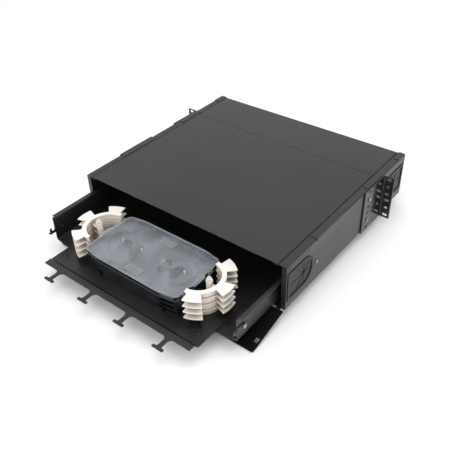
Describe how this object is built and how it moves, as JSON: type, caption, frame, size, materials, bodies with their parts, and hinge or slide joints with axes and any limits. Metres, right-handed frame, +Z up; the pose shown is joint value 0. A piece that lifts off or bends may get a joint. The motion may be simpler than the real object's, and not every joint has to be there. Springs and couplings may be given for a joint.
{
  "type": "fibre splice enclosure",
  "caption": "Rack-mount fibre termination and splice enclosure: sheet-steel chassis with fold-down door, slide-out drawer, stacked splice trays, bend-radius guides and cable fingers.",
  "frame": {"origin": "middle of the chassis base, on its underside", "axes": "+X to the right seen from the door side, +Y from the door towards the rear cover, +Z up; the drawer pulls out along -Y"},
  "size_m": [0.4826, 0.5872, 0.1093],
  "materials": {
    "powder_black": "fine-textured powder coat",
    "satin_black": "satin powder coat",
    "grey_rubber": "matte",
    "tray_black": "moulded satin",
    "lid_clear": "clear moulded plastic",
    "guide_ivory": "moulded satin",
    "magnet_black": "matte",
    "bright_steel": "zinc-plated"
  },
  "bodies": {
    "chassis": {"chassis_shell": "powder_black", "top_cover_front": "powder_black", "rear_cover": "powder_black", "hinge_pin_right": "bright_steel", "hinge_pin_left": "bright_steel", "door_magnet_right": "magnet_black", "door_magnet_left": "magnet_black", "port_grommet_front_right": "grey_rubber", "port_grommet_front_left": "grey_rubber", "port_grommet_rear_right": "grey_rubber", "port_grommet_rear_left": "grey_rubber", "rack_ear_right": "powder_black", "rack_ear_left": "powder_black", "ear_screw_upper_right": "bright_steel", "ear_screw_upper_left": "bright_steel", "ear_screw_lower_right": "bright_steel", "ear_screw_lower_left": "bright_steel", "slide_rail_right": "satin_black", "slide_rail_left": "satin_black", "catch_pin_right": "bright_steel", "catch_pin_left": "bright_steel"},
    "drawer": {"drawer_pan": "satin_black", "latch_pivot_right": "bright_steel", "latch_pivot_left": "bright_steel", "splice_carrier": "satin_black", "splice_tray_1": "tray_black", "splice_tray_2": "tray_black", "splice_tray_3": "tray_black", "splice_tray_4": "tray_black", "fibre_guide_right_1": "guide_ivory", "fibre_guide_left_1": "guide_ivory", "fibre_guide_right_2": "guide_ivory", "fibre_guide_left_2": "guide_ivory", "fibre_guide_right_3": "guide_ivory", "fibre_guide_left_3": "guide_ivory", "fibre_guide_right_4": "guide_ivory", "fibre_guide_left_4": "guide_ivory", "guide_post_right": "guide_ivory", "guide_post_left": "guide_ivory", "post_nut_right": "guide_ivory", "post_nut_left": "guide_ivory"},
    "door": {"front_door": "powder_black", "door_strike_right": "bright_steel", "door_strike_left": "bright_steel"},
    "latch_right": {"drawer_latch_right": "satin_black"},
    "latch_left": {"drawer_latch_left": "satin_black"},
    "lid": {"tray_lid": "lid_clear"}
  },
  "joints": [
    {"name": "drawer_slide", "type": "slide", "parent": "chassis", "child": "drawer", "axis": [0, 1, 0], "range_m": [0, 0.19]},
    {"name": "front_door_hinge", "type": "hinge", "parent": "chassis", "child": "door", "pos_m": [0, -0.2024, 0.0019], "axis": [-1, 0, 0], "range_deg": [0, 14.4]},
    {"name": "latch_right_hinge", "type": "hinge", "parent": "drawer", "child": "latch_right", "pos_m": [0.2046, -0.286, 0.03], "axis": [-1, 0, 0], "range_deg": [0, 25]},
    {"name": "latch_left_hinge", "type": "hinge", "parent": "drawer", "child": "latch_left", "pos_m": [-0.2046, -0.286, 0.03], "axis": [-1, 0, 0], "range_deg": [0, 25]},
    {"name": "lid_lift", "type": "slide", "parent": "drawer", "child": "lid", "axis": [0, 0, 1], "range_m": [0, 0.034]}
  ]
}
